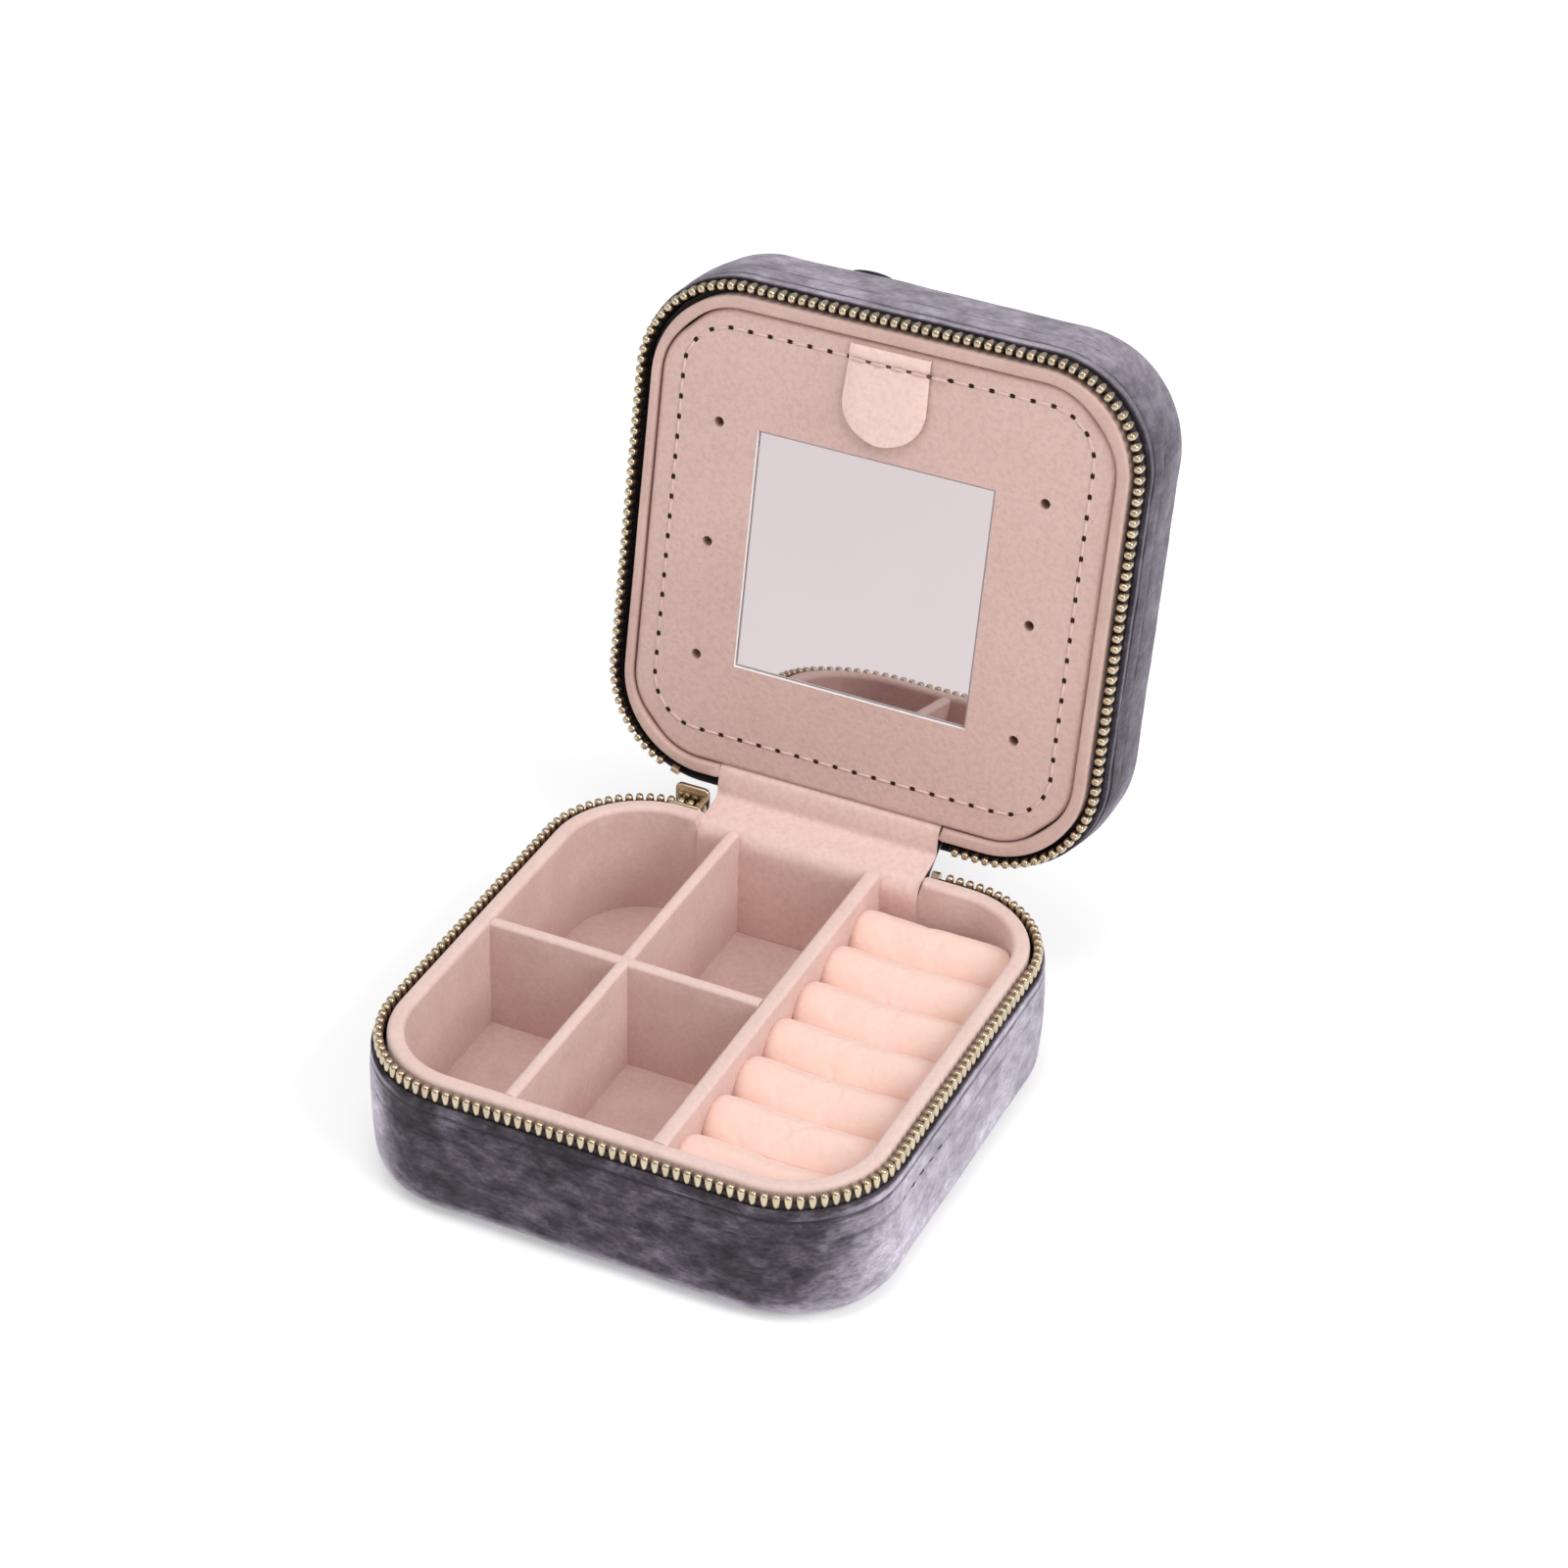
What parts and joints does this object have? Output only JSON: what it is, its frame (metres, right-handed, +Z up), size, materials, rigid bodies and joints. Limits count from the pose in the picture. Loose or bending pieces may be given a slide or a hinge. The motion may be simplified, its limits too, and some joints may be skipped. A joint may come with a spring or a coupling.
{
  "type": "travel jewelry case",
  "caption": "Square zipped velvet jewelry case standing open, with suede compartments, padded ring rolls and a flip-down mirror panel in the lid.",
  "frame": {"origin": "centre of the flat underside of the base", "axes": "+Z up, +X to the right seen from the front, +Y to the rear, where the lid is hinged; the rest pose is open"},
  "size_m": [0.1, 0.142, 0.1267],
  "materials": {
    "velvet": "crushed velvet, dark purple grey, sheen",
    "board": "moulded or pressed board, unseen",
    "foam": "thin foam, unseen",
    "suede": "dusty pink short-pile suede cloth",
    "roll_suede": "peach short-pile suede cloth over foam",
    "tape": "black woven zip tape",
    "brass": "polished pale brass",
    "panel_leatherette": "fine-grained matt leatherette, dusty pink",
    "strip_leatherette": "smooth matt leatherette, pale pink",
    "tab_leatherette": "smooth matt leatherette, light peach",
    "mirror": "polished mirror"
  },
  "bodies": {
    "base": {"base_shell": "board", "base_cover": "velvet", "base_lining_wall": "suede", "base_floor_pad": "suede", "cross_divider": "suede", "mid_divider": "suede", "ring_divider": "suede", "ring_board": "board", "ring_roll_1": "roll_suede", "ring_roll_2": "roll_suede", "ring_roll_3": "roll_suede", "ring_roll_4": "roll_suede", "ring_roll_5": "roll_suede", "ring_roll_6": "roll_suede", "ring_roll_7": "roll_suede", "base_zip_tape": "tape", "base_zip_chain": "brass", "base_top_stop": "brass", "zip_bottom_stop": "brass", "hinge_lining_base": "strip_leatherette", "hinge_cover_base": "velvet"},
    "lid": {"lid_shell": "board", "lid_cover": "velvet", "lid_pad": "foam", "lid_lining_wall": "suede", "lid_back_lining": "suede", "lid_zip_tape": "tape", "lid_zip_chain": "brass", "lid_top_stop": "brass", "hinge_lining_lid": "strip_leatherette", "hinge_cover_lid": "velvet"},
    "panel": {"panel_face": "panel_leatherette", "panel_board": "board", "panel_back": "suede", "panel_tape": "strip_leatherette", "mirror": "mirror", "tab_anchor": "tab_leatherette"},
    "pull_tab": {"pull_tab": "tab_leatherette"},
    "zip_slider": {"zip_slider": "brass"},
    "zip_pull": {"zip_pull": "brass"}
  },
  "joints": [
    {"name": "lid_hinge", "type": "hinge", "parent": "base", "child": "lid", "pos_m": [0, 0.051, 0.028], "axis": [-1, 0, 0], "range_deg": [-100.5, 0]},
    {"name": "panel_flip", "type": "hinge", "parent": "lid", "child": "panel", "pos_m": [0, 0.05361, 0.03606], "axis": [1, 0, 0], "range_deg": [0, 85]},
    {"name": "tab_lift", "type": "hinge", "parent": "panel", "child": "pull_tab", "pos_m": [-0.0001, 0.06828, 0.11796], "axis": [-1, 0, 0], "range_deg": [0, 70]},
    {"name": "slider_run", "type": "hinge", "parent": "base", "child": "zip_slider", "pos_m": [-0.029, 0.029, 0.028], "axis": [0, 0, 1], "range_deg": [0, 90]},
    {"name": "pull_swing", "type": "hinge", "parent": "zip_slider", "child": "zip_pull", "pos_m": [-0.029, 0.0526, 0.0266], "axis": [1, 0, 0], "range_deg": [-6, 70]}
  ]
}
